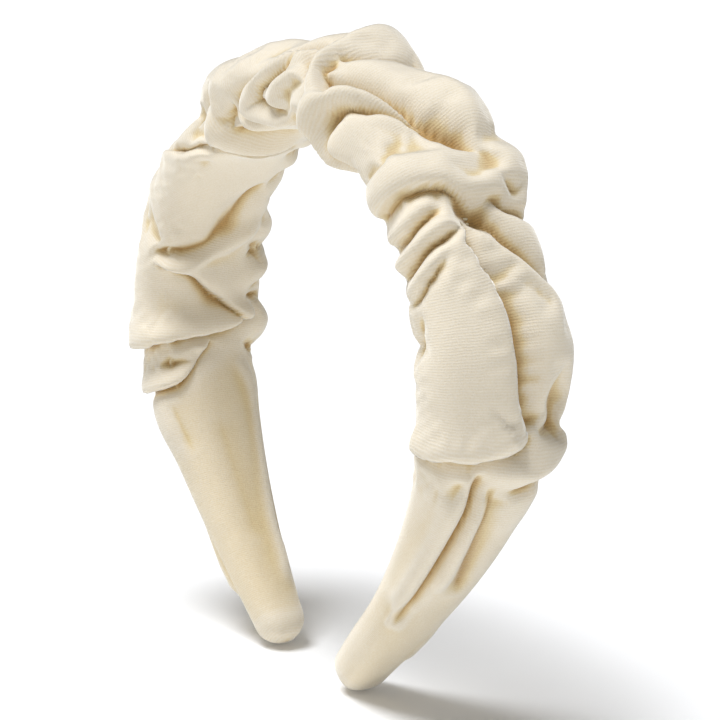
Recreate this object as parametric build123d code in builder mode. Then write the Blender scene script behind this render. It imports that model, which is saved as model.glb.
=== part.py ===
"""Knotted velvet headband: a hard C-shaped hair band with a gathered velvet cover.

A thin moulded core carries a strip of sponge on its outer face.  Both slide into a
gathered velvet sleeve, which a wrap of the same velvet cinches into a knot at the crown.
The core is one springy strip.  Here it is cut at the two places where it bends most, so
that each arm swings outwards about a flexure, as it does when the band is put on.

Frame: the band stands on its two tips.  X goes across the head to the wearer's left or
right arm, Y from the front edge (-Y) to the back edge, and Z up.  The origin is midway
between the tips, on the surface that they stand on.

Every place along the band is a run: the length along the core's mid-line from the top of
the arch, in mm, negative towards the left tip.  Every height off it is an offset: mm
outwards from that mid-line, negative towards the head.
"""
from build123d import *
from math import copysign, cos, degrees, radians, sin, tan
import os

# Arch of the core's mid-line: three tangent arcs on each side, in mm and degrees of turn
crown_radius = 59.3
crown_arc = 53.0
shoulder_radius = 55.9
shoulder_arc = 60.0
leg_radius = 172.0
leg_arc = 21.5

# Core: one strip of moulded polypropylene
core_thickness = 1.8
core_width = 25.0
core_tip_width = 8.0
core_tip_corner = 3.0

# Double-sided tape that holds the sponge on the core's outer face
tape_thickness = 0.3
tape_margin = 1.0

# Sponge padding, cut short of each tip
foam_thickness = 4.0
foam_tip_gap = 16.0

# Taper of every layer, seen from the side: full width down to this run, then straight to the tip
taper_run = 98.0

# Velvet sleeve, gathered: how far it puffs out past the core's edges and inner face and the sponge
cover_side_puff = 4.0
cover_tip_side_puff = 1.6
cover_outer_puff = 9.3
cover_inner_puff = 4.6
cover_corner_share = 0.44
cover_clearance = 0.1

# Waist of the sleeve under the knot, as tight as the wrap of velvet cinches it, and that wrap's own walls
waist_side_puff = 1.0
waist_outer_puff = 5.3
waist_inner_puff = 3.6
waist_run = 13.0
wrap_side_wall = 5.5
wrap_outer_wall = 7.0
wrap_inner_wall = 1.8
wrap_run = 11.0
wrap_edge = 1.5
wrap_clearance = 0.1

# Pinch at the right shoulder, where the gathers are tacked down to the sponge
pinch_run = 47.0
pinch_radius = 6.5
pinch_depth = 2.6

# Hot-melt glue that holds each core tip in the end of the sleeve
glue_wall = 0.6
glue_past_core = 1.5

# Thread: the sleeve's seam, in a channel inside its inner wall, and the tacks
thread_radius = 0.35
stitch_length = 2.6
stitch_pitch = 4.6
stitch_clearance = 0.1
seam_end_gap = 3.0
seam_channel_width = 3.0
seam_channel_tip_width = 1.6
tack_count = 4
tack_pitch = 2.2
tack_length = 5.0

# Flexures: each arm opens outwards by this much, about the core's outer face
flexure_run = 58.0
opening_angle = 16.0
relief_angle = 8.6
relief_gap = 0.4

# Angles up the round tip at which its cross-sections lie
dome_angles = (0, 25, 45, 62, 78)

# Even steps between the sleeve's cross-sections, on half the crown and on an arm
crown_steps = 9
arm_steps = 8

# Reach of the cutting bodies, larger than the band on every side
reach = 120.0

arcs = ((crown_radius, crown_arc), (shoulder_radius, shoulder_arc), (leg_radius, leg_arc))
crown_run = crown_radius * radians(crown_arc)
shoulder_run = crown_run + shoulder_radius * radians(shoulder_arc)
tip_run = shoulder_run + leg_radius * radians(leg_arc)
core_face = core_thickness / 2
tape_face = core_face + tape_thickness
foam_face = tape_face + foam_thickness
foam_end = tip_run - foam_tip_gap
seam_floor = core_face + cover_clearance + 2 * (thread_radius + stitch_clearance)
cover_width = core_width + 2 * cover_side_puff
cover_tip_width = core_tip_width + 2 * cover_tip_side_puff
cover_tip_radius = cover_tip_width / 2
cover_outer = foam_face + cover_outer_puff
cover_inner = core_face + cover_inner_puff
waist_width = core_width + 2 * waist_side_puff
waist_outer = foam_face + waist_outer_puff
waist_inner = core_face + waist_inner_puff
wrap_width = waist_width + 2 * wrap_side_wall
wrap_outer = waist_outer + wrap_outer_wall
wrap_inner = waist_inner + wrap_inner_wall


def arc_at(run):
    """Centre, radius and turn (radians) of the arc that holds a run; the right half's values, mirrored."""
    side = copysign(1, run)
    left = abs(run)
    turn = 0.0
    centre_x = 0.0
    centre_z = -crown_radius
    for index, (radius, arc) in enumerate(arcs):
        span = radius * radians(arc)
        if left <= span or index == len(arcs) - 1:
            return side * centre_x, centre_z, radius, side * (turn + left / radius)
        turn += radians(arc)
        left -= span
        next_radius = arcs[index + 1][0]
        centre_x += (radius - next_radius) * sin(turn)
        centre_z += (radius - next_radius) * cos(turn)


def below_top(run, offset):
    """X and Z of a point of the band, measured from the mid-line's highest point."""
    centre_x, centre_z, radius, turn = arc_at(run)
    return centre_x + (radius + offset) * sin(turn), centre_z + (radius + offset) * cos(turn)


# The rounded tips touch the surface, so they set how high the arch stands
top_height = cover_tip_radius - below_top(tip_run, 0)[1]


def point_at(run, offset):
    """X and Z of a point of the band, in the part's frame."""
    x, z = below_top(run, offset)
    return x, z + top_height


taper_height = point_at(taper_run, 0)[1]


def width_at(height, full_width, tip_width):
    """Width of a tapered layer at a height, from the taper's start down to the tips' surface."""
    share = (taper_height - height) / taper_height
    return full_width + (tip_width - full_width) * min(max(share, 0), 1)


def cross_plane(run, offset=0.0):
    """Plane square to the band: its x is +Y, its y points outwards, its normal to the right tip."""
    turn = arc_at(run)[3]
    x, z = point_at(run, offset)
    return Plane(origin=(x, 0, z), x_dir=(0, 1, 0), z_dir=(cos(turn), 0, -sin(turn)))


def side_plane(run, offset=0.0):
    """Plane along the band: its x follows the band to the right tip, its y points outwards."""
    turn = arc_at(run)[3]
    x, z = point_at(run, offset)
    return Plane(origin=(x, 0, z), x_dir=(cos(turn), 0, -sin(turn)), z_dir=(0, -1, 0))


def strip(start, end, inner, outer, full_width, tip_width):
    """A flat layer of the band between two runs and two offsets, tapered towards the tips."""
    joints = [run for run in (-shoulder_run, -crown_run, crown_run, shoulder_run) if start < run < end]
    stops = [start, *joints, end]
    with BuildPart() as layer:
        with BuildSketch(Plane.XZ):
            with BuildLine():
                for offset in (inner, outer):
                    for a, b in zip(stops, stops[1:]):
                        ThreePointArc(point_at(a, offset), point_at((a + b) / 2, offset), point_at(b, offset))
                Line(point_at(start, inner), point_at(start, outer))
                Line(point_at(end, inner), point_at(end, outer))
            make_face()
        extrude(amount=full_width, both=True)
        with BuildSketch(Plane.YZ):
            with BuildLine():
                Polyline(
                    (full_width / 2, top_height + reach),
                    (full_width / 2, taper_height),
                    (tip_width / 2, 0),
                    (tip_width / 2, -reach),
                    (-tip_width / 2, -reach),
                    (-tip_width / 2, 0),
                    (-full_width / 2, taper_height),
                    (-full_width / 2, top_height + reach),
                    close=True,
                )
            make_face()
        extrude(amount=reach, both=True, mode=Mode.INTERSECT)
    return layer.part


def ease(share):
    """0 to 1 with a level start and finish."""
    share = min(max(share, 0), 1)
    return share * share * (3 - 2 * share)


def sleeve_size(run, grow=0.0):
    """Width, inner and outer offsets of the gathered sleeve at a run."""
    rise = ease(abs(run) / waist_run)
    width = waist_width + (cover_width - waist_width) * rise
    outer = waist_outer + (cover_outer - waist_outer) * rise
    inner = waist_inner + (cover_inner - waist_inner) * rise
    fall = ease((abs(run) - taper_run) / (tip_run - taper_run))
    outer += (cover_tip_radius - outer) * fall
    inner += (cover_tip_radius - inner) * fall
    width = width_at(point_at(run, 0)[1], width, cover_tip_width)
    return width + 2 * grow, inner + grow, outer + grow


def lofted(sections):
    """Solid through rounded cross-sections, each a run with its width, inner and outer offsets."""
    with BuildPart() as form:
        for run, width, inner, outer in sections:
            height = inner + outer
            with BuildSketch(cross_plane(run, (outer - inner) / 2)):
                RectangleRounded(width, height, min(cover_corner_share * height, 0.49 * width))
        loft()
    return form.part


def sleeve(runs, grow=0.0):
    """The sleeve's outer form through a row of runs."""
    return lofted([(run, *sleeve_size(run, grow)) for run in runs])


def tip_dome(side):
    """Round closed end of the sleeve, past the tip's last full section."""
    sections = []
    for angle in dome_angles:
        size = cover_tip_width * cos(radians(angle))
        run = tip_run + cover_tip_radius * sin(radians(angle))
        sections.append((side * run, size, size / 2, size / 2))
    return lofted(sections)


def relief(side):
    """V-shaped slot at a flexure: it clears the arm as the outer layers close up on opening."""
    depth = cover_outer + wrap_outer
    half_gap = relief_gap / 2
    flare = half_gap + depth * tan(radians(relief_angle))
    with BuildPart() as slot:
        with BuildSketch(side_plane(side * flexure_run, core_face)):
            Polygon(
                (-half_gap, -depth),
                (half_gap, -depth),
                (half_gap, 0),
                (flare, depth),
                (-flare, depth),
                (-half_gap, 0),
                align=None,
            )
        extrude(amount=reach, both=True)
    return slot.part


def stitch(run, offset, y, length, angle=0.0):
    """One round-ended thread, laid on the band and turned from the lengthwise direction."""
    place = side_plane(run, offset)
    with BuildPart() as thread:
        with Locations(place.offset(-y)):
            with Locations(Rotation(0, 90 + angle, 0)):
                Cylinder(thread_radius, length)
        fillet(thread.edges().filter_by(GeomType.CIRCLE), 0.3 * thread_radius)
    return thread.part


def seam(start, end):
    """Row of stitches inside the sleeve, which is sewn inside out and turned, so they lie against the core."""
    count = int((end - start) / stitch_pitch)
    first = (start + end - (count - 1) * stitch_pitch) / 2
    for index in range(count):
        add(stitch(first + index * stitch_pitch, -seam_floor + thread_radius + stitch_clearance, 0, stitch_length))


relief_left = relief(-1)
relief_right = relief(1)
spans = {
    "crown": (-flexure_run, flexure_run),
    "left_arm": (-tip_run, -flexure_run),
    "right_arm": (flexure_run, tip_run),
}
pieces = {}


def keep(piece, name):
    """Label a finished piece and hold it for export under the same name."""
    piece.part.label = name
    pieces[name] = piece.part


# Core, tape and sponge: one strip each, cut at the flexures
for place, (start, end) in spans.items():
    with BuildPart() as core:
        add(strip(start, end, -core_face, core_face, core_width, core_tip_width))
        if place != "crown":
            tip_face = core.faces().sort_by(Axis.Z)[0]
            fillet(tip_face.edges().filter_by(Axis.Y, reverse=True), core_tip_corner)
        add([relief_left, relief_right], mode=Mode.SUBTRACT)
    keep(core, f"core_{place}")

    layer_start = max(start, -foam_end)
    layer_end = min(end, foam_end)
    tape_widths = (core_width - 2 * tape_margin, core_tip_width - 2 * tape_margin)
    with BuildPart() as tape:
        add(strip(layer_start, layer_end, core_face, tape_face, *tape_widths))
        add([relief_left, relief_right], mode=Mode.SUBTRACT)
    keep(tape, f"tape_{place}")

    with BuildPart() as foam:
        add(strip(layer_start, layer_end, tape_face, foam_face, core_width, core_tip_width))
        add([relief_left, relief_right], mode=Mode.SUBTRACT)
    keep(foam, f"foam_{place}")


def glue_pocket(side):
    """Space in the end of the sleeve that the glue and the core's tip fill."""
    ends = sorted((side * foam_end, side * (tip_run + glue_past_core)))
    grow = 2 * glue_wall
    face = core_face + glue_wall
    return strip(*ends, -face, face, core_width + grow, core_tip_width + grow)


# Space inside the sleeve: the core, tape and sponge, then the glue at both tips
glue_pockets = {-1: glue_pocket(-1), 1: glue_pocket(1)}
with BuildPart() as sleeve_space:
    side_gap = 2 * cover_clearance
    space_inner = -core_face - cover_clearance
    space_outer = foam_face + cover_clearance
    space_widths = (core_width + side_gap, core_tip_width + side_gap)
    add(strip(-foam_end, foam_end, space_inner, space_outer, *space_widths))
    add(strip(-foam_end, foam_end, -seam_floor, space_inner, seam_channel_width, seam_channel_tip_width))
    add(glue_pockets.values())

# Gathered sleeve over the crown, with its waist under the knot and the tacked pinch
crown_runs = [flexure_run * step / crown_steps for step in range(-crown_steps, crown_steps + 1)]
pinch_centre = point_at(pinch_run, cover_outer + pinch_radius - pinch_depth)
with BuildPart() as cover_crown:
    add(sleeve(crown_runs))
    add(sleeve_space.part, mode=Mode.SUBTRACT)
    add([relief_left, relief_right], mode=Mode.SUBTRACT)
    with Locations((pinch_centre[0], 0, pinch_centre[1])):
        Sphere(pinch_radius, mode=Mode.SUBTRACT)
keep(cover_crown, "cover_crown")

# Sleeve of each arm, down to its round closed tip, with the glue inside
for side, name in ((-1, "left"), (1, "right")):
    arm_step = (tip_run - flexure_run) / arm_steps
    arm_runs = [side * (flexure_run + arm_step * step) for step in range(arm_steps + 1)]
    with BuildPart() as cover_arm:
        add(sleeve(arm_runs))
        add(tip_dome(side))
        add(sleeve_space.part, mode=Mode.SUBTRACT)
        add([relief_left, relief_right], mode=Mode.SUBTRACT)
    keep(cover_arm, f"cover_{name}_arm")

    with BuildPart() as glue:
        add(glue_pockets[side])
        add(pieces[f"core_{name}_arm"], mode=Mode.SUBTRACT)
    keep(glue, f"tip_glue_{name}")

# Wrap of velvet round the sleeve's waist: the knot
wrap_sections = []
for share in (-1, -0.5, 0, 0.5, 1):
    drop = wrap_edge * share**2
    wrap_sections.append((wrap_run * share, wrap_width - 2 * drop, wrap_inner, wrap_outer - drop))
with BuildPart() as knot_wrap:
    add(lofted(wrap_sections))
    add(sleeve(crown_runs, wrap_clearance), mode=Mode.SUBTRACT)
keep(knot_wrap, "knot_wrap")

# Thread: the seam on each span, the tacks under the knot and those in the shoulder pinch
for place, (start, end) in spans.items():
    with BuildPart() as seam_row:
        seam(max(start, -foam_end) + seam_end_gap, min(end, foam_end) - seam_end_gap)
    keep(seam_row, f"seam_stitches_{place}")

with BuildPart() as knot_tacks:
    for index in range(tack_count):
        y = (index - (tack_count - 1) / 2) * tack_pitch
        add(stitch(0, -wrap_inner - thread_radius - stitch_clearance, y, tack_length))
keep(knot_tacks, "knot_tack_stitches")

with BuildPart() as shoulder_tacks:
    for index in range(tack_count - 1):
        y = (index - (tack_count - 2) / 2) * tack_pitch
        lift = pinch_radius - (pinch_radius**2 - y**2) ** 0.5
        offset = cover_outer - pinch_depth + lift + 2 * thread_radius
        add(stitch(pinch_run, offset, y, stitch_length))
keep(shoulder_tacks, "shoulder_tack_stitches")

os.makedirs("parts", exist_ok=True)
for name, piece in pieces.items():
    export_step(piece, f"parts/{name}.step")
hinge_x, hinge_z = point_at(flexure_run, core_face)
print(f"hinge axes at x +-{hinge_x:.3f}, z {hinge_z:.3f}; tips at x +-{point_at(tip_run, 0)[0]:.2f}")
print(f"core {2 * tip_run:.0f} mm long, opens {opening_angle:.0f} degrees a side, top {top_height:.2f}")
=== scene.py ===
"""Knotted velvet headband: the gathered sleeve, its knot and its stitches, over the fixed frame."""
from math import cos, pi, radians, sin, tau

import bpy
import numpy as np
from mathutils import Matrix, Vector


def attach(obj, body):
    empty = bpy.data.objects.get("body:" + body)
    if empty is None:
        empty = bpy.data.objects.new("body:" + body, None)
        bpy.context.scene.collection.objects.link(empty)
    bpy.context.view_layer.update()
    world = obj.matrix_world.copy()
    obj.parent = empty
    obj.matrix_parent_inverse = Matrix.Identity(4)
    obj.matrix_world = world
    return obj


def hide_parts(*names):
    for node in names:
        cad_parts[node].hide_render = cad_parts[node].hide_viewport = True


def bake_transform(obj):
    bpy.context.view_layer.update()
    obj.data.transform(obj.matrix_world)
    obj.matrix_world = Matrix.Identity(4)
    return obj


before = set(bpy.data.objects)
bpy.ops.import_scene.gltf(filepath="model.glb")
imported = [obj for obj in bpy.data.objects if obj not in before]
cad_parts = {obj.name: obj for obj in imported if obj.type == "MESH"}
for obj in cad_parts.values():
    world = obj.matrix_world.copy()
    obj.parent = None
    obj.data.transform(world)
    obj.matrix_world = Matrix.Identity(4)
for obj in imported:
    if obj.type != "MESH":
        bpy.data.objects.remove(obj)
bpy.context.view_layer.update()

MM = 0.001

# ---- The band's own measures, in mm and degrees, as the frame has them ----
ARCS = ((59.3, 53.0), (55.9, 60.0), (172.0, 21.5))  # radius and turn of each arc, from the top down
CROWN_RADIUS = ARCS[0][0]
CORE_HALF = 0.9
FOAM_FACE = 5.2
FOAM_TIP_GAP = 16.0
CORE_WIDTH = 25.0
CORE_TIP_WIDTH = 8.0
TAPER_RUN = 98.0
TIP_RADIUS = 5.6
FLEXURE_RUN = 58.0

# ---- The sleeve's plain section, a little inside the frame's own, before its folds ----
SLEEVE_WIDTH = 32.6
SLEEVE_OUTER = 14.0
SLEEVE_INNER = 5.0
LEFT_TIP_HALF = 5.4
LEFT_TIP_THICK = 5.1
CORE_GAP = 0.5  # kept between the cloth and what is inside it
FOAM_FADE = 5.0  # run over which the cloth drops from the padding's end to the core
FLEXURE_HALF = 16.0  # run on each side of a flexure at which the arm's mid-line points are taken
CORNER_POWER = 0.78  # 1 would be an ellipse; less is fuller at the corners

# ---- The cloth's grid ----
RUN_STEP = 0.55
ROUND_STEPS = 144
LINE_STEPS = 10

# ---- How folds are formed ----
CREASE_POWER = 1.3
CREASE_REACH = 6
CROSSING_CREASES = 0.25  # what the shallower of two creases adds where they cross
ROLL_POWER = 2.4
ROLL_REACH = 3
CROSSING_ROLLS = 0.35
LIP_REACH = 4
LIP_EDGE = 0.22  # share of a lip's width over which its edge rises
LIP_EDGE_POWER = 1.6
LIP_BACK = 1.1  # over which it falls away behind the edge
LIP_HOLLOW = 0.45  # over which the hollow under it runs out
LIP_HOLLOW_POWER = 1.2
LIP_UNDERCUT = 0.08  # over which the hollow reaches in behind the edge
LEAN_START = 0.12
LEAN_END = 0.5
PUFF_POWER = 1.2

# ---- The tight legs: the cloth is tented over the padding's end ----
TENT_RUN = 125.0
TENT_FADE = 15.0
TENT_STEPS = 6

# ---- The settling simulation: a coarser grid of the same cloth, cut longer than the band it covers ----
COARSE = 3
SLACK = 0.08
SETTLE_FRAMES = 18
SETTLE_CAP = 3.0
HELD_DEPTH = 4.0  # a crease this deep is held as if sewn
HELD_IN_CREASE = 0.9
HELD_INNER = 40.0  # degrees each side of the inner face, where the seam holds the cloth
HELD_LEG_RUN = 96.0
HELD_LEG_FADE = 14.0
HELD_LEVELS = 20
UNSETTLED_TIP = 4.0

# ---- The velvet and the thread ----
# Painted shade: the velvet's colour goes from pale cream to honey in its hollows and down its legs, where
# shade falls
SHADE_OF_FLAT = 0.1
FLAT_HOLLOW = 0.08
FINE_HOLLOW = 0.8  # mm below the cloth near it that takes the full painted crease shade
BROAD_HOLLOW = 6.0  # mm below the cloth further round it that does
# painted shade that darkens the legs, as under light from above
LEG_SHADE = 0.26
LEG_SHADE_RUN = 90.0
LEG_SHADE_FADE = 30.0
RIB_PITCH = 0.52
RIB_WANDER = 0.5
TUFTS_PER_MM = 2.6
WANDERS_PER_MM = 0.26
PATCHES_PER_MM = 0.055
PILE_DEPTH = 0.3
THREAD_RADIUS = 0.3
THREAD_SIDES = 8
THREAD_RINGS = 9


def arc_at(run):
    """Centre, radius and turn of the arc that holds each run, for an array of runs (right half mirrored)."""
    side = np.where(run < 0, -1.0, 1.0)
    left = np.abs(run)
    centre_x = np.zeros_like(left)
    centre_z = np.full_like(left, -CROWN_RADIUS)
    radius = np.full_like(left, CROWN_RADIUS)
    turn = left / CROWN_RADIUS
    start = 0.0
    turned = 0.0
    x, z = 0.0, -CROWN_RADIUS
    for (this_radius, arc), (next_radius, _) in zip(ARCS, ARCS[1:]):
        start += this_radius * radians(arc)
        turned += radians(arc)
        x += (this_radius - next_radius) * sin(turned)
        z += (this_radius - next_radius) * cos(turned)
        past = left > start
        centre_x[past], centre_z[past], radius[past] = x, z, next_radius
        turn[past] = turned + (left[past] - start) / next_radius
    return side * centre_x, centre_z, radius, side * turn


TIP_RUN = sum(radius * radians(arc) for radius, arc in ARCS)


def below_top(run):
    """Place of the core's mid-line at each run, from the top of the band, and its turn there."""
    centre_x, centre_z, radius, turn = arc_at(run)
    return centre_x + radius * np.sin(turn), centre_z + radius * np.cos(turn), turn


TOP = TIP_RADIUS - below_top(np.array([TIP_RUN]))[1][0]


def ease(share):
    """A smooth step from 0 to 1."""
    share = np.clip(share, 0, 1)
    return share * share * (3 - 2 * share)


def tapered(height, full, tip):
    """A width at a height: full above the taper's start, then straight to the tip's."""
    start = TOP + below_top(np.array([TAPER_RUN]))[1][0]
    return full + (tip - full) * np.clip((start - height) / start, 0, 1)


# ---- Folds, each placed by points of run (mm from the top, left is negative) and angle (degrees round
# ---- from the outer face; 90 is the front edge, 180 the inner face, -90 the back edge). Their sizes, in
# ---- mm, follow the points: rise, sink, width and lean of a lip; sink and width of a crease; rise and
# ---- width of a roll; rise and half-lengths along and round of a puff.
LIPS = []
CREASES = []
ROLLS = []
PUFFS = []
# Places where the cloth lies smooth over the padding: run, angle, half-lengths in mm and in degrees
CALM = (
    (80, 52, 26, 66),
    (55, 75, 12, 60),
    (-60, 130, 11, 60),
    (-88, 120, 12, 60),
    (-32, 20, 12, 40),
    (-12, 80, 14, 50),
    (26, 80, 10, 45),
    (16, 20, 16, 30),
)


def lip(points, rise, sink, width, lean=0.0, fade=6.0):
    """One layer lapping over the next: raised on the left of the line, sunk on its right."""
    LIPS.append((points, rise, sink, width, lean, fade))


def crease(points, sink, width, fade=6.0):
    """A narrow valley along a line."""
    CREASES.append((points, sink, width, fade))


def roll(points, rise, width, fade=8.0):
    """A round ridge along a line."""
    ROLLS.append((points, rise, width, fade))


def puff(run, angle, rise, long_way, round_way):
    """A swelling, or a dent if its rise is negative."""
    PUFFS.append((run, angle, rise, long_way, round_way))


def place_left_crown():
    """Nested C folds that run in under the knot, the hollow below them and the big roll."""
    puff(-34, 4, 4.0, 9, 18)
    puff(-38, 74, -3.0, 8, 8)
    puff(-47, 14, -3.4, 8, 15)
    crease(
        [
            (6, 8), (-2, 22), (-5, 44), (-8, 62), (-12, 76), (-18, 88), (-20, 99), (-19, 112),
            (-14, 128), (-6, 138),
        ],
        3.4, 1.2,
    )
    roll([(2, 14), (-1, 40), (-5, 64), (-9, 80), (-14, 95), (-14, 108), (-7, 118), (4, 124)], 2.6, 2.8)
    crease([(1, 8), (-1, 34), (-2, 58), (-5, 78), (-9, 90), (-9, 100), (-5, 108), (2, 113)], 2.6, 1.0)
    roll([(3, 40), (2, 66), (-3, 86), (-4, 98), (2, 106)], 1.4, 2.2)
    roll([(-12, -20), (-15, 20), (-19, 52), (-25, 76), (-26, 98), (-21, 122), (-8, 146)], 1.8, 4.4)
    crease([(-21, 84), (-24, 104), (-26, 130), (-25, 155), (-20, 195)], 6.0, 3.2, fade=7)
    roll([(-37, 84), (-33, 104), (-31, 130), (-32, 165), (-32, 205)], 3.6, 4.6)
    lip(
        [(-57, 44), (-54, 66), (-50, 92), (-42, 124), (-37, 145), (-35, 175), (-39, 215)],
        1.0, 3.0, 4.5, 0.6, fade=9,
    )


def place_left_folds():
    """The smooth panel, the folds under it, the two lips and the tight leg."""
    # the valley that ends the smooth panel, and the ridge past it
    crease([(-53, 208), (-60, 190), (-66, 183), (-73, 174), (-76, 154), (-77, 128), (-78, 98)], 3.2, 1.9)
    roll([(-81, 100), (-80, 138), (-77, 165), (-72, 192), (-68, 222)], 2.4, 2.4)
    # a fold with a sharp edge over the recessed panel
    lip([(-98, 208), (-92, 186), (-87, 173), (-83, 158), (-81, 135), (-81, 104)], 2.0, 3.0, 4.0, 1.0)
    puff(-90, 140, -1.2, 6, 10)
    puff(-90, 92, 1.2, 12, 5)
    # two lips above the tight leg
    lip(
        [(-91, 218), (-96, 204), (-99, 180), (-100, 151), (-101, 120), (-102, 90), (-102, 40)],
        2.8, 3.8, 4.5, 2.0,
    )
    lip(
        [(-100, 184), (-105, 167), (-109, 152), (-112, 135), (-113, 110), (-113, 85), (-112, 40)],
        2.4, 2.2, 3.4, 1.4,
    )
    crease([(-102, 180), (-105, 163), (-107, 147), (-107, 105)], 2.2, 1.6)
    # flaps that stand up on the inner side
    for run in (-85, -97):
        puff(run, 220, 2.6, 4.6, 6)
        crease([(run + 6, 198), (run + 6, 220), (run + 5, 248)], 2.8, 1.3)
    # leg: a bulge at the front edge and a sharp lengthwise edge on the inner face
    puff(-121, 92, 2.0, 9, 5)
    crease([(-115, 110), (-122, 114), (-132, 122)], 0.8, 2.2)
    roll([(-106, 196), (-118, 214), (-132, 216), (-147, 210), (-172, 202)], 1.4, 2.0)
    crease([(-116, 228), (-135, 228), (-160, 224)], 1.3, 2.2)
    crease([(-122, 172), (-138, 176), (-158, 178)], 0.4, 2.2)


def place_knot():
    """The lobe that laps over the crown's folds, with its rim, the deep crease and the puff on top."""
    lip(
        [
            (28, 150), (24, 130), (18, 110), (14, 97), (11, 84), (9, 66), (6, 42), (4, 14), (1, -14),
            (-2, -50),
        ],
        3.0, 2.6, 4.5, 0.5,
    )
    roll([(5, 6), (7, 28), (8, 44), (11, 62), (15, 78), (17, 95)], 1.4, 2.2)
    crease([(7, 12), (9, 30), (10, 46), (14, 60), (18, 72)], 3.4, 1.2)
    crease([(9, 44), (13, 49), (16, 36), (22, 20), (29, 8), (34, 1), (41, -6)], 5.0, 1.4, fade=3)
    roll([(16, 56), (22, 40), (28, 26), (35, 13)], 1.6, 3.0)
    roll([(9, 30), (11, 17), (17, 2), (24, -8), (32, -12), (40, -20)], 2.6, 3.6)
    crease([(8, 28), (9, 14), (11, 0), (12, -16), (12, -50)], 3.4, 1.3, fade=3)
    puff(1, -24, 4.2, 8.5, 11)
    puff(13, -36, -2.6, 3.5, 5)
    # the roll between the lobe and the valley, which hangs below the band's front edge
    roll([(26, 34), (20, 54), (17, 72), (15, 90), (15, 106), (19, 120), (27, 134)], 3.0, 2.8)
    puff(22, 114, 2.6, 6, 5)
    crease(
        [
            (40, 0), (32, 10), (27, 27), (24, 47), (21, 64), (20, 80), (20, 96), (22, 111), (28, 123),
            (36, 132),
        ],
        4.4, 1.6,
    )


def place_right_shoulder():
    """The pleats that gather into the pinch, and the shoulder's back."""
    puff(33, 45, -1.4, 5.5, 11)
    roll([(41, 124), (42, 90), (42, 57), (43, 33), (44, 11), (47, -8), (50, -36)], 2.4, 3.8)
    # rolled pleats that run from the front edge up into the pinch, each lapping over the next
    lip([(53, 2), (49, 14), (47, 34), (46.5, 60), (46.5, 95), (46, 130)], 1.2, 2.3, 3.6, 0.3, fade=6)
    for pleat, rise, sink in (
        ([(51, 24), (52.5, 42), (53.5, 62), (54.5, 82), (54.5, 108), (53, 140)], 1.2, 2.6),
        ([(54, 12), (57, 34), (58.5, 56), (60, 80), (61, 102), (61, 136)], 1.5, 3.2),
        ([(60, 34), (63, 54), (65, 72), (67, 88), (69, 108)], 1.6, 2.0),
    ):
        crease(pleat, sink, 1.1, fade=7)
        roll([(run - 2.4, angle) for run, angle in pleat], rise, 2.0, fade=8)
    crease([(77, 132), (76, 108), (73, 94), (69, 82)], 2.0, 1.8)
    puff(53, 8, -3.0, 2.6, 3.0)
    # back of the shoulder
    puff(30, -40, 4.4, 9, 9)
    puff(44, -48, 4.0, 6, 8)
    crease([(24, -44), (32, -52), (38, -62), (40, -85)], 1.6, 1.5)
    crease([(49, 0), (51, -10), (53, -24), (54, -56), (55, -85)], 2.8, 1.4)
    crease([(46, -14), (49, -34), (47, -52)], 1.4, 1.3)
    crease([(53, 8), (56, -3), (58, -9), (60, -15), (62, -24), (66, -42), (69, -70)], 3.8, 1.7, fade=3)


def place_right_folds():
    """The broad front panel, the cuff below it and the long folds of the leg."""
    lip(
        [(54, 14), (58, 19), (63, 15), (68, 7), (74, 3), (80, 1), (86, -1), (92, -4), (95, -10)],
        2.6, 4.4, 6.0, 1.8, fade=3,
    )
    puff(82, 46, 1.4, 16, 20)
    puff(77, 104, -1.8, 3, 5)
    lip(
        [(93, -12), (96, -4), (97, 12), (98, 31), (98, 52), (98.5, 73), (99, 95), (98, 120)],
        2.2, 4.2, 4.6, 1.8,
    )
    roll([(98, 24), (100, 4), (100, -20), (98, -60), (98, -85)], 2.6, 3.0)
    crease([(105, 10), (105, -15), (104, -50), (102, -85)], 2.6, 1.6)
    crease([(93, -16), (94, -38), (92, -62)], 1.6, 1.6)
    puff(74, -34, 2.6, 14, 8)
    puff(89, -48, -2.8, 5, 3.5)
    puff(86, -75, 2.4, 11, 6)
    crease([(99, 18), (103, 19), (109, 22), (116, 28), (125, 34), (136, 40), (150, 50)], 3.8, 1.5, fade=8)
    roll([(103, 36), (116, 46), (130, 56), (146, 64)], 1.6, 4.0)
    crease([(101, 8), (107, 5), (115, 5), (125, 2), (137, -6)], 1.8, 1.4)
    crease([(101, 30), (105, 42), (110, 52)], 0.8, 1.8)
    roll([(104, 14), (118, 16), (136, 20)], 1.4, 2.2)
    puff(106, -22, 1.6, 9, 6)
    puff(166, 84, 1.2, 14, 7)


def place_hidden_folds():
    """Gathers on the faces that the folds above don't reach, so that they go all round the band."""
    left = ((-24, 6, 3.2), (-41, -5, 2.6), (-57, 5, 2.4), (-75, -4, 2.2), (-90, 4, 1.8), (-103, -3, 2.4))
    for run, sway, sink in left:
        crease(
            [(run, 200), (run + sway, 250), (run - sway, 300), (run, 325), (run + sway / 2, 348)],
            sink, 1.8,
        )
        roll([(run + 6, 215), (run + 6 + sway, 265), (run + 7 - sway, 310), (run + 6, 350)], 1.4, 4.0)
    right = ((24, -5, 3.0), (38, 4, 2.6), (57, -4, 2.4), (72, 4, 2.2), (98, -3, 2.6))
    for run, sway, sink in right:
        crease([(run, 135), (run + sway, 165), (run - sway, 200), (run, 240), (run + sway, 275)], sink, 1.8)
        roll([(run + 6, 140), (run + 6 + sway, 175), (run + 7 - sway, 215), (run + 6, 260)], 1.2, 4.0)
    crease([(-112, 50), (-112, 20), (-113, -30), (-111, -80), (-108, -140)], 1.6, 1.8)
    crease([(110, -50), (125, -70), (145, -90)], 1.2, 1.5)


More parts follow.
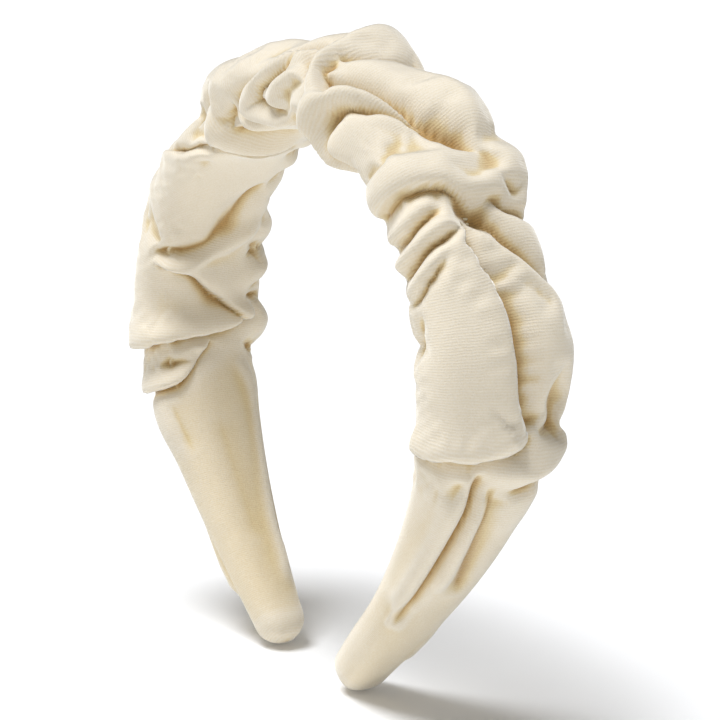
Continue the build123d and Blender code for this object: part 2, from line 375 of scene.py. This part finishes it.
def smooth_line(points):
    """Catmull-Rom curve through a fold line's points."""
    p = np.array(points, float)
    p = np.vstack([2 * p[0] - p[1], p, 2 * p[-1] - p[-2]])
    t = np.linspace(0, 1, LINE_STEPS, endpoint=False)[:, None]
    parts = []
    for a, b, c, d in zip(p, p[1:], p[2:], p[3:]):
        square = 2 * a - 5 * b + 4 * c - d
        cube = 3 * b - a - 3 * c + d
        parts.append(0.5 * (2 * b + (c - a) * t + square * t**2 + cube * t**3))
    return np.vstack([*parts, p[-2]])


class Cloth:
    """The sleeve's surface as a grid of runs and angles, with the folds' height and lean on it."""

    def __init__(self, first, last):
        steps = COARSE * int(round((last - first) / RUN_STEP / COARSE))
        self.runs = np.linspace(first, last, steps + 1)
        self.angles = np.arange(ROUND_STEPS) * 360 / ROUND_STEPS
        self.measure()
        shape = (len(self.runs), ROUND_STEPS)
        self.height = np.zeros(shape)
        self.lean_run = np.zeros(shape)
        self.lean_round = np.zeros(shape)
        self.depth = np.zeros(shape)

    def measure(self):
        """Centre, directions and half-sizes of the sleeve's section at each run."""
        run = self.runs
        side = np.sign(run)
        along = np.clip(np.abs(run), 0, TIP_RUN)
        x, z, turn = below_top(side * along)
        past = np.clip(np.abs(run) - TIP_RUN, 0, TIP_RADIUS)
        x = x + side * past * np.cos(turn)
        z = z + TOP - side * past * np.sin(turn)
        dome = np.sqrt(np.clip(1 - (past / TIP_RADIUS) ** 2, 0, 1))
        fall = ease((np.abs(run) - TAPER_RUN) / (TIP_RUN - TAPER_RUN))
        tip_half = np.where(run < 0, LEFT_TIP_HALF, TIP_RADIUS)
        tip_thick = np.where(run < 0, LEFT_TIP_THICK, TIP_RADIUS)
        self.width = tapered(z, SLEEVE_WIDTH, 2 * tip_half) * dome
        self.outer = (SLEEVE_OUTER + (tip_thick - SLEEVE_OUTER) * fall) * dome
        self.inner = (SLEEVE_INNER + (tip_thick - SLEEVE_INNER) * fall) * dome
        self.dome = dome
        foam_ends = ease((np.abs(run) - TIP_RUN + FOAM_TIP_GAP) / FOAM_FADE)
        self.face = FOAM_FACE + (CORE_HALF - FOAM_FACE) * foam_ends
        self.z = z
        self.centre = np.stack([x, np.zeros_like(x), z], 1)
        self.out = np.stack([np.sin(turn), np.zeros_like(x), np.cos(turn)], 1)
        self.along = np.stack([np.cos(turn), np.zeros_like(x), -np.sin(turn)], 1)
        half_height = (self.outer + self.inner) / 2
        self.degree = pi * np.sqrt((half_height**2 + (self.width / 2) ** 2) / 2) / 180  # mm round per degree

    def near(self, points, reach):
        """The rows near a line, with each point's distance from it (mm, positive on its left), how far
        along it the nearest place is, the line's length, and the direction to its left."""
        line = smooth_line(points)
        rows = np.where((self.runs > line[:, 0].min() - reach) & (self.runs < line[:, 0].max() + reach))[0]
        if not len(rows):
            return None
        u = self.runs[rows][:, None]
        scale = np.maximum(self.degree[rows], 0.05)[:, None]
        middle = (line[:, 1].min() + line[:, 1].max()) / 2
        v = (self.angles[None] - middle + 180) % 360 - 180
        best = np.full((len(rows), ROUND_STEPS), 1e9)
        signed = np.zeros_like(best)
        share = np.zeros_like(best)
        side_u = np.zeros_like(best)
        side_v = np.zeros_like(best)
        a, b = line[:-1], line[1:]
        mid_scale = np.interp(a[:, 0], self.runs, self.degree)
        lengths = np.hypot(b[:, 0] - a[:, 0], (b[:, 1] - a[:, 1]) * mid_scale)
        total = lengths.sum()
        gone = 0.0
        for (au, av), (bu, bv), length in zip(a, b, lengths):
            du, dv = bu - au, (bv - av) * scale
            size = du * du + dv * dv + 1e-9
            pu, pv = u - au, (v - (av - middle)) * scale
            t = np.clip((pu * du + pv * dv) / size, 0, 1)
            ru, rv = pu - t * du, pv - t * dv
            distance = np.hypot(ru, rv)
            closer = distance < best
            best = np.where(closer, distance, best)
            root = np.sqrt(size)
            left = np.where(-dv * pu + du * pv >= 0, 1.0, -1.0)
            signed = np.where(closer, left * distance, signed)
            share = np.where(closer, gone + t * length, share)
            side_u = np.where(closer, -dv / root, side_u)
            side_v = np.where(closer, du / root, side_v)
            gone += length
        return rows, signed, share, total, side_u, side_v

    def fading(self, share, total, fade):
        """Full along a line and nothing at its ends."""
        fade = min(fade, total / 2)
        return ease(share / fade) * ease((total - share) / fade)

    def add_creases(self, sunk):
        for points, sink, width, fade in CREASES:
            found = self.near(points, CREASE_REACH * width)
            if found is None:
                continue
            rows, distance, share, total, _, _ = found
            fall = np.exp(-((np.abs(distance) / width) ** CREASE_POWER))
            line = sink * fall * self.fading(share, total, fade)
            sunk[rows] = np.maximum(sunk[rows], line) + CROSSING_CREASES * np.minimum(sunk[rows], line)

    def add_rolls(self, raised):
        for points, rise, width, fade in ROLLS:
            found = self.near(points, ROLL_REACH * width)
            if found is None:
                continue
            rows, distance, share, total, _, _ = found
            fall = np.exp(-((np.abs(distance) / width) ** ROLL_POWER))
            line = rise * fall * self.fading(share, total, fade)
            raised[rows] = np.maximum(raised[rows], line) + CROSSING_ROLLS * np.minimum(raised[rows], line)

    def add_lips(self, raised, sunk):
        """Steep on the lapping side, hollow under it, and leaning over the hollow."""
        for points, rise, sink, width, lean, fade in LIPS:
            found = self.near(points, LIP_REACH * width)
            if found is None:
                continue
            rows, distance, share, total, side_run, side_round = found
            full = self.fading(share, total, fade)
            lapping = distance > 0
            far = np.abs(distance) / width
            top = (1 - np.exp(-((far / LIP_EDGE) ** LIP_EDGE_POWER))) * np.exp(-((far / LIP_BACK) ** 2))
            outside = np.exp(-((far / LIP_HOLLOW) ** LIP_HOLLOW_POWER))
            under = np.where(distance < 0, outside, np.exp(-((far / LIP_UNDERCUT) ** 2)))
            pull = np.exp(-((far / LEAN_END) ** 2)) * (1 - np.exp(-((far / LEAN_START) ** 2)))
            raised[rows] += rise * full * np.where(lapping, top, 0)
            sunk[rows] = np.maximum(sunk[rows], sink * full * under)
            pull = -lean * full * np.where(lapping, pull, 0)
            self.lean_run[rows] += pull * side_run
            self.lean_round[rows] += pull * side_round

    def add_folds(self):
        """Height of the cloth over its plain section, and how deep its creases are."""
        sunk = np.zeros_like(self.height)
        raised = np.zeros_like(self.height)
        self.add_creases(sunk)
        self.add_rolls(raised)
        self.add_lips(raised, sunk)
        swell = np.zeros_like(self.height)
        for run, angle, rise, long_way, round_way in PUFFS:
            along = (self.runs - run)[:, None] / long_way
            across = ((self.angles[None] - angle + 180) % 360 - 180) * self.degree[:, None] / round_way
            swell += rise * np.exp(-((along**2 + across**2) ** PUFF_POWER))
        self.height = raised - sunk + swell
        self.depth = sunk

    def shape(self):
        """The folded cloth as distances along, out and to the front of its section's mid-line, in mm."""
        angle = np.radians(self.angles)[None]
        half_height = ((self.outer + self.inner) / 2)[:, None]
        middle = ((self.outer - self.inner) / 2)[:, None]
        half_width = (self.width / 2)[:, None]
        c, s = np.cos(angle), np.sin(angle)
        up = half_height * np.sign(c) * np.abs(c) ** CORNER_POWER
        front = half_width * np.sign(s) * np.abs(s) ** CORNER_POWER
        normal_up = up / np.maximum(half_height, 0.1) ** 2
        normal_front = front / np.maximum(half_width, 0.1) ** 2
        size = np.hypot(normal_up, normal_front) + 1e-9
        normal_up, normal_front = normal_up / size, normal_front / size
        scale = self.dome[:, None]
        room_out = np.where(c > 0, (self.outer - self.face)[:, None], self.inner[:, None] - CORE_HALF)
        room_front = half_width - tapered(self.z, CORE_WIDTH, CORE_TIP_WIDTH)[:, None] / 2
        room = np.hypot(room_out * np.abs(c) ** 2, room_front * np.abs(s) ** 0.5)
        room = np.maximum(room - CORE_GAP, 0.2)
        sunk = np.maximum(-self.height, 0)
        height = (np.maximum(self.height, 0) - room * np.tanh(sunk / room)) * scale
        up = up + middle + normal_up * height - normal_front * self.lean_round * scale
        front = front + normal_front * height + normal_up * self.lean_round * scale
        return np.stack([self.lean_run * scale, up, front], -1)

    def clear_of_core(self, local):
        """Pushes the cloth out of the core and its padding, softly round the padding's end."""
        along, up, front = np.moveaxis(local, -1, 0)
        core = tapered(self.z, CORE_WIDTH, CORE_TIP_WIDTH)[:, None] / 2 + CORE_GAP
        low, high = -CORE_HALF - CORE_GAP, self.face[:, None] + CORE_GAP
        middle = (low + high) / 2
        inside = np.maximum(np.abs(front) / core, np.abs(up - middle) / ((high - low) / 2))
        push = np.where(self.dome[:, None] > 0.99, np.maximum(1.0, 1 / np.maximum(inside, 0.2)), 1.0)
        tent = push.copy()
        for _ in range(TENT_STEPS):
            tent = np.maximum.reduce([tent, np.roll(tent, 1, 1), np.roll(tent, -1, 1)])
            tent[1:-1] = np.maximum.reduce([tent[:-2], tent[1:-1], tent[2:]])
        tent = blurred(tent, TENT_STEPS)
        push += (tent - push) * ease((np.abs(self.runs) - TENT_RUN) / TENT_FADE)[:, None]
        return np.stack([along, (up - middle) * push + middle, front * push], -1)

    def placed(self, local):
        """Distances along, out and to the front as points of the band, in mm."""
        along, up, front = np.moveaxis(local, -1, 0)[..., None]
        return (
            self.centre[:, None]
            + self.out[:, None] * up
            + self.along[:, None] * along
            + np.array([0, -1.0, 0]) * front
        )

    def held(self, rows, turns):
        """How firmly each point is held while the cloth settles: in creases, calm places, seam and legs."""
        held = np.clip(self.depth[rows][:, turns] / HELD_DEPTH, 0, 1) * HELD_IN_CREASE
        for run, angle, long_way, round_way in CALM:
            along = (self.runs[rows] - run)[:, None] / long_way
            across = ((self.angles[turns] - angle + 180) % 360 - 180)[None] / round_way
            held = np.maximum(held, np.exp(-((along**2 + across**2) ** 3)))
        held[:, np.abs(self.angles[turns] - 180) < HELD_INNER] = 1.0
        return np.maximum(held, ease((np.abs(self.runs[rows]) - HELD_LEG_RUN) / HELD_LEG_FADE)[:, None])

    def settle(self, local):
        """Cloth simulation: the sleeve is longer than its core, so it buckles between its tight creases."""
        rows = np.arange(0, len(self.runs), COARSE)
        loose = np.abs(self.runs[rows]) < TIP_RUN - UNSETTLED_TIP
        turns = np.arange(0, ROUND_STEPS, COARSE)
        start = self.placed(local)[rows][:, turns]
        piece = mesh_from_grid("settling_cloth", start[loose], self.runs[rows][loose])
        levels = np.round(self.held(rows, turns)[loose].ravel() * HELD_LEVELS)
        group = piece.vertex_groups.new(name="held")
        for level in range(1, HELD_LEVELS + 1):
            group.add(np.where(levels == level)[0].tolist(), level / HELD_LEVELS, "REPLACE")
        settings = piece.modifiers.new("settle", "CLOTH").settings
        settings.quality = 5
        settings.mass = 0.02
        settings.tension_stiffness = 20
        settings.compression_stiffness = 20
        settings.shear_stiffness = 8
        settings.bending_stiffness = 1.5
        settings.vertex_group_mass = "held"
        settings.shrink_min = -SLACK
        settings.effector_weights.gravity = 0
        for frame_number in range(1, SETTLE_FRAMES + 1):
            bpy.context.scene.frame_set(frame_number)
        settled = piece.evaluated_get(bpy.context.evaluated_depsgraph_get()).data
        moved = np.zeros(start[loose].size, np.float32)
        settled.vertices.foreach_get("co", moved)
        shift = np.zeros_like(start)
        shift[loose] = moved.reshape(start[loose].shape) / MM - start[loose]
        bpy.data.objects.remove(piece)
        bpy.context.scene.frame_set(1)
        shift *= np.minimum(1, SETTLE_CAP / np.maximum(np.linalg.norm(shift, axis=-1, keepdims=True), 1e-6))
        along = (shift * self.along[rows][:, None]).sum(-1)
        out = (shift * self.out[rows][:, None]).sum(-1)
        return local + finer(np.stack([along, out, -shift[..., 1]], -1), len(self.runs))


def finer(values, rows):
    """A coarse grid's values on the fine grid: stretched evenly, then smoothed."""
    down = np.arange(rows) / COARSE
    first = np.minimum(down.astype(int), len(values) - 2)
    part = (down - first)[:, None, None]
    values = values[first] * (1 - part) + values[first + 1] * part
    turned = np.concatenate([values, values[:, :1]], 1)
    across = np.arange(ROUND_STEPS) / COARSE
    first = across.astype(int)
    part = (across - first)[None, :, None]
    values = turned[:, first] * (1 - part) + turned[:, first + 1] * part
    for _ in range(2):
        values = (np.roll(values, 1, 1) + 2 * values + np.roll(values, -1, 1)) / 4
        values[1:-1] = (values[:-2] + 2 * values[1:-1] + values[2:]) / 4
    return values


def blurred(values, rounds, steps=1):
    """Values averaged with their neighbours on the grid, which closes on itself round the band."""
    for _ in range(rounds):
        values = (np.roll(values, steps, 1) + np.roll(values, -steps, 1) + 2 * values) / 4
        ends = values[: -2 * steps] + values[2 * steps :]
        values[steps:-steps] = (ends + 2 * values[steps:-steps]) / 4
    return values


def facing(points):
    """Unit normals of the cloth, the same on both sides of the place where the two sleeve pieces meet."""
    along = np.gradient(points, axis=0)
    across = np.roll(points, -1, 1) - np.roll(points, 1, 1)
    normal = np.cross(across, along)
    return normal / np.maximum(np.linalg.norm(normal, axis=-1, keepdims=True), 1e-9)


# Measures the hollows that the velvet's painted crease shade follows
def hollows(points, normal):
    """How far each point lies below the cloth near it and below the cloth further round it, in mm."""
    fine = ((blurred(points, 8, 1) - points) * normal).sum(-1)
    broad = ((blurred(points, 8, 4) - points) * normal).sum(-1)
    return fine, broad


def mesh_from_grid(name, points, runs, marks=None, normals=None, cap_first=False, cap_last=False):
    """A tube of quads that face outward, with its run and way round as UVs, and marks as attributes."""
    rows, round_count = points.shape[:2]
    vertices = points.reshape(-1, 3) * MM
    i = np.arange(rows - 1)[:, None] * round_count
    j = np.arange(round_count)[None]
    k = (j + 1) % round_count
    faces = np.stack([i + j, i + k, i + round_count + k, i + round_count + j], -1).reshape(-1, 4)
    u0 = np.broadcast_to(runs[:-1, None], (rows - 1, round_count))
    u1 = np.broadcast_to(runs[1:, None], (rows - 1, round_count))
    v0 = np.broadcast_to(j / round_count, (rows - 1, round_count))
    v1 = v0 + 1 / round_count
    corners = ((u0, v0), (u0, v1), (u1, v1), (u1, v0))
    uv = np.stack([np.stack(corner, -1) for corner in corners], 2)
    mesh = bpy.data.meshes.new(name)
    ends = []
    if cap_first:
        ends.append(list(range(round_count))[::-1])
    if cap_last:
        ends.append(list(range((rows - 1) * round_count, rows * round_count)))
    mesh.from_pydata(vertices.tolist(), [], faces.tolist() + ends)
    layer = mesh.uv_layers.new(name="run_and_round")
    flat = np.zeros((len(mesh.loops), 2))
    flat[: uv.size // 2] = uv.reshape(-1, 2)
    layer.data.foreach_set("uv", flat.ravel())
    for mark, values in (marks or {}).items():
        attribute = mesh.attributes.new(mark, "FLOAT", "POINT")
        attribute.data.foreach_set("value", values.ravel().astype(np.float32))
    mesh.polygons.foreach_set("use_smooth", np.ones(len(mesh.polygons), bool))
    mesh.update()
    if normals is not None:
        mesh.normals_split_custom_set_from_vertices(normals.reshape(-1, 3).tolist())
    piece = bpy.data.objects.new(name, mesh)
    bpy.context.scene.collection.objects.link(piece)
    return piece


# ---- Materials ----
def linear(code):
    """A hex sRGB colour as linear RGBA."""
    values = [int(code[i : i + 2], 16) / 255 for i in (0, 2, 4)]
    return (*(v / 12.92 if v <= 0.04045 else ((v + 0.055) / 1.055) ** 2.4 for v in values), 1)


def add_node(tree, kind, settings=None, values=None, links=None):
    """Adds a node, with its settings, the values of its inputs, and links into them."""
    node = tree.nodes.new(kind)
    for key, value in (settings or {}).items():
        setattr(node, key, value)
    for key, value in (values or {}).items():
        node.inputs[key].default_value = value
    for key, source in (links or {}).items():
        tree.links.new(source, node.inputs[key])
    return node


def new_material(name):
    """A material with its node tree and its shader."""
    material = bpy.data.materials.new(name)
    material.use_nodes = True
    tree = material.node_tree
    shader = next(n for n in tree.nodes if n.type == "BSDF_PRINCIPLED")
    return material, tree, shader


def ribbed_velvet():
    """Stretch velvet, knitted with ribs half a millimetre apart and sheared: a soft pile that glows at its
    edges, with painted shade that colours it pale on the swells and honey in the folds and down the legs."""
    material, tree, shader = new_material("ribbed_stretch_velvet")
    uv = add_node(tree, "ShaderNodeUVMap", {"uv_map": "run_and_round"})
    split = add_node(tree, "ShaderNodeSeparateXYZ", links={0: uv.outputs[0]})
    where = {"Vector": add_node(tree, "ShaderNodeTexCoord").outputs["Object"]}
    # painted shade: how far each place is coloured toward honey, from its hollows and its run down the legs
    depth = add_node(tree, "ShaderNodeAttribute", {"attribute_name": "painted_fold_shade"})
    wander = add_node(
        tree, "ShaderNodeTexNoise", values={"Scale": WANDERS_PER_MM / MM, "Detail": 2.0}, links=where
    )
    pile = add_node(
        tree, "ShaderNodeTexNoise", values={"Scale": TUFTS_PER_MM / MM, "Detail": 3.0}, links=where
    )
    patch = add_node(
        tree, "ShaderNodeTexNoise", values={"Scale": PATCHES_PER_MM / MM, "Detail": 3.0}, links=where
    )
    shifted = add_node(
        tree,
        "ShaderNodeMath",
        {"operation": "MULTIPLY_ADD"},
        {1: RIB_WANDER},
        {0: wander.outputs["Fac"], 2: split.outputs[0]},
    )
    phase = add_node(
        tree, "ShaderNodeMath", {"operation": "MULTIPLY"}, {1: tau / RIB_PITCH}, {0: shifted.outputs[0]}
    )
    rib = add_node(tree, "ShaderNodeMath", {"operation": "SINE"}, links={0: phase.outputs[0]})
    grain = add_node(
        tree,
        "ShaderNodeMath",
        {"operation": "MULTIPLY_ADD"},
        {1: 0.14},
        {0: rib.outputs[0], 2: pile.outputs["Fac"]},
    )
    # Painted shade: pale cream on open cloth, honey in the creases and down the legs
    shade = add_node(tree, "ShaderNodeValToRGB", links={"Fac": depth.outputs["Fac"]})
    stops = shade.color_ramp.elements
    stops[0].position = 0.0
    stops[0].color = linear("F2E7D1")
    stops[1].position = 1.0
    stops[1].color = linear("BE9A62")
    stops.new(0.35).color = linear("E6D2A6")
    tone = add_node(
        tree,
        "ShaderNodeMix",
        {"data_type": "RGBA", "blend_type": "MULTIPLY"},
        {"Factor": 0.16},
        {"A": shade.outputs[0], "B": patch.outputs["Fac"]},
    )
    fibre = add_node(
        tree,
        "ShaderNodeMix",
        {"data_type": "RGBA", "blend_type": "OVERLAY"},
        {"Factor": 0.28},
        {"A": tone.outputs["Result"], "B": grain.outputs[0]},
    )
    bump = add_node(
        tree,
        "ShaderNodeBump",
        values={"Strength": 0.42, "Distance": PILE_DEPTH * MM},
        links={"Height": grain.outputs[0]},
    )
    tree.links.new(fibre.outputs["Result"], shader.inputs["Base Color"])
    tree.links.new(bump.outputs[0], shader.inputs["Normal"])
    shader.inputs["Roughness"].default_value = 0.88
    shader.inputs["Specular IOR Level"].default_value = 0.18
    shader.inputs["Sheen Weight"].default_value = 1.0
    shader.inputs["Sheen Roughness"].default_value = 0.42
    shader.inputs["Sheen Tint"].default_value = linear("FFFDF6")
    return material


def plain(name, code, roughness, grains_per_mm, grain_depth, glow=0.0):
    """A material of one colour with a fine grain, its depth in mm."""
    material, tree, shader = new_material(name)
    noise = add_node(
        tree,
        "ShaderNodeTexNoise",
        values={"Scale": grains_per_mm / MM, "Detail": 4.0},
        links={"Vector": add_node(tree, "ShaderNodeTexCoord").outputs["Object"]},
    )
    ramp = add_node(tree, "ShaderNodeValToRGB", links={"Fac": noise.outputs["Fac"]})
    base = linear(code)
    ramp.color_ramp.elements[0].color = (*(0.9 * value for value in base[:3]), 1)
    ramp.color_ramp.elements[1].color = base
    bump = add_node(
        tree,
        "ShaderNodeBump",
        values={"Strength": 0.5, "Distance": grain_depth * MM},
        links={"Height": noise.outputs["Fac"]},
    )
    tree.links.new(ramp.outputs[0], shader.inputs["Base Color"])
    tree.links.new(bump.outputs[0], shader.inputs["Normal"])
    shader.inputs["Roughness"].default_value = roughness
    shader.inputs["Emission Color"].default_value = base
    shader.inputs["Emission Strength"].default_value = glow
    return material


# ---- The sleeve ----
place_left_crown()
place_left_folds()
place_knot()
place_right_shoulder()
place_right_folds()
place_hidden_folds()

cloth = Cloth(-TIP_RUN - TIP_RADIUS, TIP_RUN + TIP_RADIUS)
cloth.add_folds()
local = cloth.shape()
local = cloth.settle(local)
points = cloth.placed(cloth.clear_of_core(local))
normals = facing(points)
# Painted shade: how far toward honey the velvet is coloured, deeper in its hollows and down its legs
fine, broad = hollows(points, normals)
leg_shade = LEG_SHADE * ease((np.abs(cloth.runs) - LEG_SHADE_RUN) / LEG_SHADE_FADE)[:, None]
hollow_shade = (fine - FLAT_HOLLOW) / FINE_HOLLOW + broad / BROAD_HOLLOW
depth = np.clip(SHADE_OF_FLAT + hollow_shade + leg_shade, 0, 1)
velvet = ribbed_velvet()
split_run = cloth.runs[np.argmin(np.abs(cloth.runs))]


def arm_line(side, run):
    """Point of the core's mid-line, in metres."""
    x, z, _ = below_top(np.array([float(side * run)]))
    return (x[0] * MM, 0.0, (z[0] + TOP) * MM)


def make_sleeve(side, name, nodes):
    """One half of the sleeve, from the top to its tip."""
    chosen = np.where(cloth.runs * side >= split_run * side)[0]
    sleeve = mesh_from_grid(
        f"velvet_sleeve_{name}",
        points[chosen],
        cloth.runs[chosen],
        # the painted crease and leg shade, carried to the velvet
        {"painted_fold_shade": depth[chosen]},
        normals[chosen],
        cap_first=side < 0,
        cap_last=side > 0,
    )
    sleeve.data.materials.append(velvet)
    start = arm_line(side, FLEXURE_RUN - FLEXURE_HALF)
    end = arm_line(side, FLEXURE_RUN + FLEXURE_HALF)
    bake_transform(sleeve)
    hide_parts(*nodes)


make_sleeve(-1, "left", ["cover_left_arm", "cover_crown"])
make_sleeve(1, "right", ["cover_right_arm", "knot_wrap"])


def thread_tack(name, spots, node_name, finish):
    """Short stitches of thread on the sleeve: each spot is a run, an angle and a half-length in mm."""
    vertices, faces = [], []
    turn = np.arange(THREAD_SIDES) * tau / THREAD_SIDES
    for run, angle, half in spots:
        row = np.argmin(np.abs(cloth.runs - run))
        column = int(round(angle / 360 * ROUND_STEPS)) % ROUND_STEPS
        across = points[row, (column + 1) % ROUND_STEPS] - points[row, column - 1]
        across /= np.linalg.norm(across)
        out = normals[row, column]
        third = np.cross(across, out)
        first = len(vertices)
        for share in np.linspace(-1, 1, THREAD_RINGS):
            rise = THREAD_RADIUS * (1.4 * (1 - share**2) - 0.6)  # both ends dip into the cloth
            size = THREAD_RADIUS * np.sqrt(max(1 - share**8, 0.02))  # and close round
            middle = points[row, column] + across * share * half + out * rise
            ring = middle + size * (np.cos(turn)[:, None] * out + np.sin(turn)[:, None] * third)
            vertices += (ring * MM).tolist()
        for ring in range(THREAD_RINGS - 1):
            for k in range(THREAD_SIDES):
                a = first + ring * THREAD_SIDES + k
                b = first + ring * THREAD_SIDES + (k + 1) % THREAD_SIDES
                faces.append((a, a + THREAD_SIDES, b + THREAD_SIDES, b))
        faces.append(tuple(range(first, first + THREAD_SIDES)))
        last = first + (THREAD_RINGS - 1) * THREAD_SIDES
        faces.append(tuple(range(last, last + THREAD_SIDES))[::-1])
    mesh = bpy.data.meshes.new(name)
    mesh.from_pydata(vertices, [], faces)
    mesh.materials.append(finish)
    piece = bpy.data.objects.new(name, mesh)
    bpy.context.scene.collection.objects.link(piece)
    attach(piece, "crown")
    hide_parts(node_name)


thread = plain("polyester_thread", "E2D7B8", 0.7, 3.0, 0.1)  # spun and slightly fuzzy
finishes = {
    "core": plain("moulded_polypropylene", "E6E2D6", 0.45, 0.9, 0.05),  # waxy, off-white
    "tape": plain("double_sided_tape", "EFEDE4", 0.6, 0.7, 0.05),  # thin, a little satin
    "foam": plain("sponge_padding", "F0EBDC", 0.95, 2.2, 0.4),  # open cells, quite matt
    "seam": thread,
    "tip": plain("hot_melt_glue", "EADFBE", 0.3, 0.5, 0.1),  # amber and glossy
}
for node_name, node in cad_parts.items():
    finish = finishes.get(node_name.split("_")[0])
    if finish:
        node.data.materials.clear()
        node.data.materials.append(finish)

knot_spots = [(-1.2, 176, 2.2), (0, 180, 2.2), (1.2, 184, 2.2)]
thread_tack("knot_tack", knot_spots, "knot_tack_stitches", thread)
shoulder_spots = [(53.5, 5, 0.8), (54.3, 6, 0.8)]
thread_tack("shoulder_tack", shoulder_spots, "shoulder_tack_stitches", thread)

# ---- Floor, light and camera ----
FLOOR_HALF = 6.0
FLOOR_DROP = 0.5  # mm below the tips
LIT_BY_SKY = 0.21
CENTRE = Vector((0, 0, 0.075))

floor_mesh = bpy.data.meshes.new("floor")
floor_corners = [(x * FLOOR_HALF, y * FLOOR_HALF, 0) for x, y in ((-1, -1), (1, -1), (1, 1), (-1, 1))]
floor_mesh.from_pydata(floor_corners, [], [(0, 1, 2, 3)])
floor = bpy.data.objects.new("floor", floor_mesh)
floor.location.z = -FLOOR_DROP * MM
bpy.context.scene.collection.objects.link(floor)
floor_mesh.materials.append(plain("pale_floor", "FDFDFC", 0.9, 0.004, 0.01, 0.06))

scene = bpy.context.scene
world = bpy.data.worlds.new("studio")
scene.world = world
world.use_nodes = True
background = next(n for n in world.node_tree.nodes if n.type == "BACKGROUND")
background.inputs["Color"].default_value = linear("FFFFFF")
seen = add_node(world.node_tree, "ShaderNodeLightPath")
strength = add_node(
    world.node_tree,
    "ShaderNodeMapRange",
    values={"To Min": LIT_BY_SKY, "To Max": 1.0},
    links={"Value": seen.outputs["Is Camera Ray"]},
)
world.node_tree.links.new(strength.outputs[0], background.inputs["Strength"])
scene.view_settings.view_transform = "Standard"


def add_light(name, kind, place, power, code, **settings):
    """A light that points at the middle of the band."""
    data = bpy.data.lights.new(name, kind)
    data.energy = power
    data.color = linear(code)[:3]
    for key, value in settings.items():
        setattr(data, key, value)
    light = bpy.data.objects.new(name, data)
    light.location = place
    light.rotation_euler = (CENTRE - Vector(place)).to_track_quat("-Z", "Y").to_euler()
    scene.collection.objects.link(light)


add_light("overhead", "SUN", (-0.12, -0.3, 1.2), 3.35, "F8FAFF", angle=radians(30))
add_light("fill", "AREA", (0.9, -0.9, 0.5), 1.0, "FFF6E8", size=0.8)

AZIMUTH = radians(56.2)
ELEVATION = radians(14.15)
ROLL = radians(2.2)
DISTANCE = 0.723
SENSOR = 36.0
VIEW_WIDTH = 173.077  # mm across the view at the band's middle
AIM_HEIGHT = TOP - 64.0  # mm, about half the band's height
SHIFT = (0.040972, 0.018889)  # share of the view's width by which the band stands left and below its middle

camera_data = bpy.data.cameras.new("camera")
camera_data.sensor_width = SENSOR
camera_data.lens = SENSOR * DISTANCE / (VIEW_WIDTH * MM)
camera_data.shift_x, camera_data.shift_y = SHIFT
camera = bpy.data.objects.new("camera", camera_data)
forward = Vector((-sin(AZIMUTH) * cos(ELEVATION), cos(AZIMUTH) * cos(ELEVATION), -sin(ELEVATION)))
right = Vector((cos(AZIMUTH), sin(AZIMUTH), 0))
up = right.cross(forward)
camera.location = Vector((0, 0, AIM_HEIGHT * MM)) - forward * DISTANCE
rolled_right = right * cos(ROLL) + up * sin(ROLL)
rolled_up = up * cos(ROLL) - right * sin(ROLL)
camera.rotation_euler = Matrix((rolled_right, rolled_up, -forward)).transposed().to_euler()
scene.collection.objects.link(camera)
scene.camera = camera
